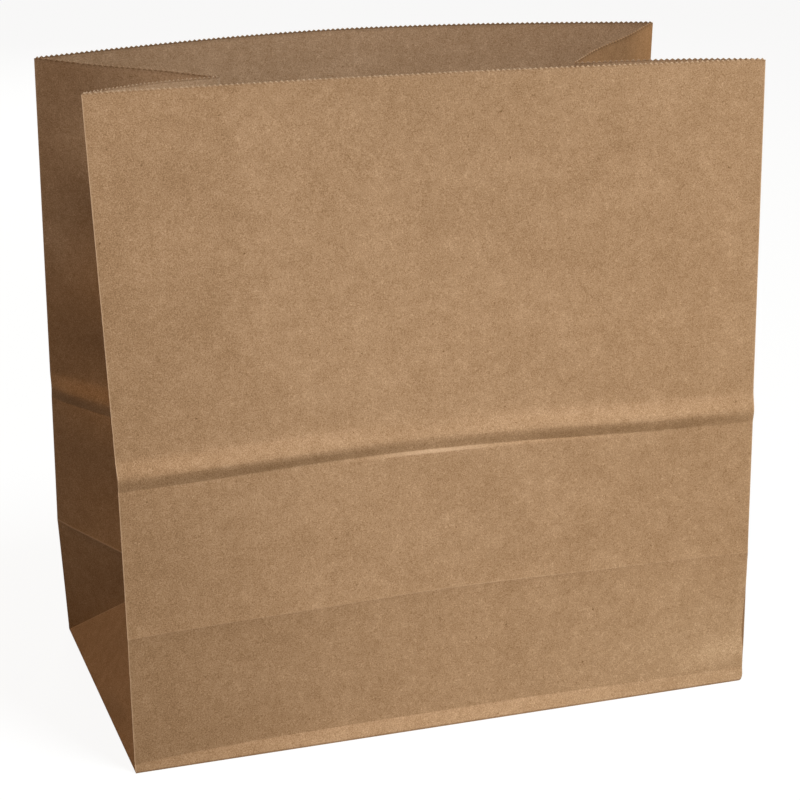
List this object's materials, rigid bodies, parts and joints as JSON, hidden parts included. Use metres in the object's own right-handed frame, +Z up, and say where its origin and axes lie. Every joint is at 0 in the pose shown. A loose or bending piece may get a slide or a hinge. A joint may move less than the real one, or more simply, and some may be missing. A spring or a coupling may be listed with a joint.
{
  "type": "square-bottom paper bag with side gussets",
  "caption": "Open brown paper bag folded from one sheet, with a flat rectangular bottom, two inward-folded side gussets, cross creases and a saw-tooth rim.",
  "frame": {"origin": "middle of the bag's bottom, on the surface that it stands on", "axes": "+Z up to the open mouth, -Y out of the wide front panel, +X to the right along that panel"},
  "size_m": [0.3443, 0.1602, 0.3318],
  "materials": {
    "brown_paper": "uncoated unbleached paper, matt, with fine fibres and specks"
  },
  "bodies": {
    "root": {"paper_bag": "brown_paper"}
  },
  "joints": []
}
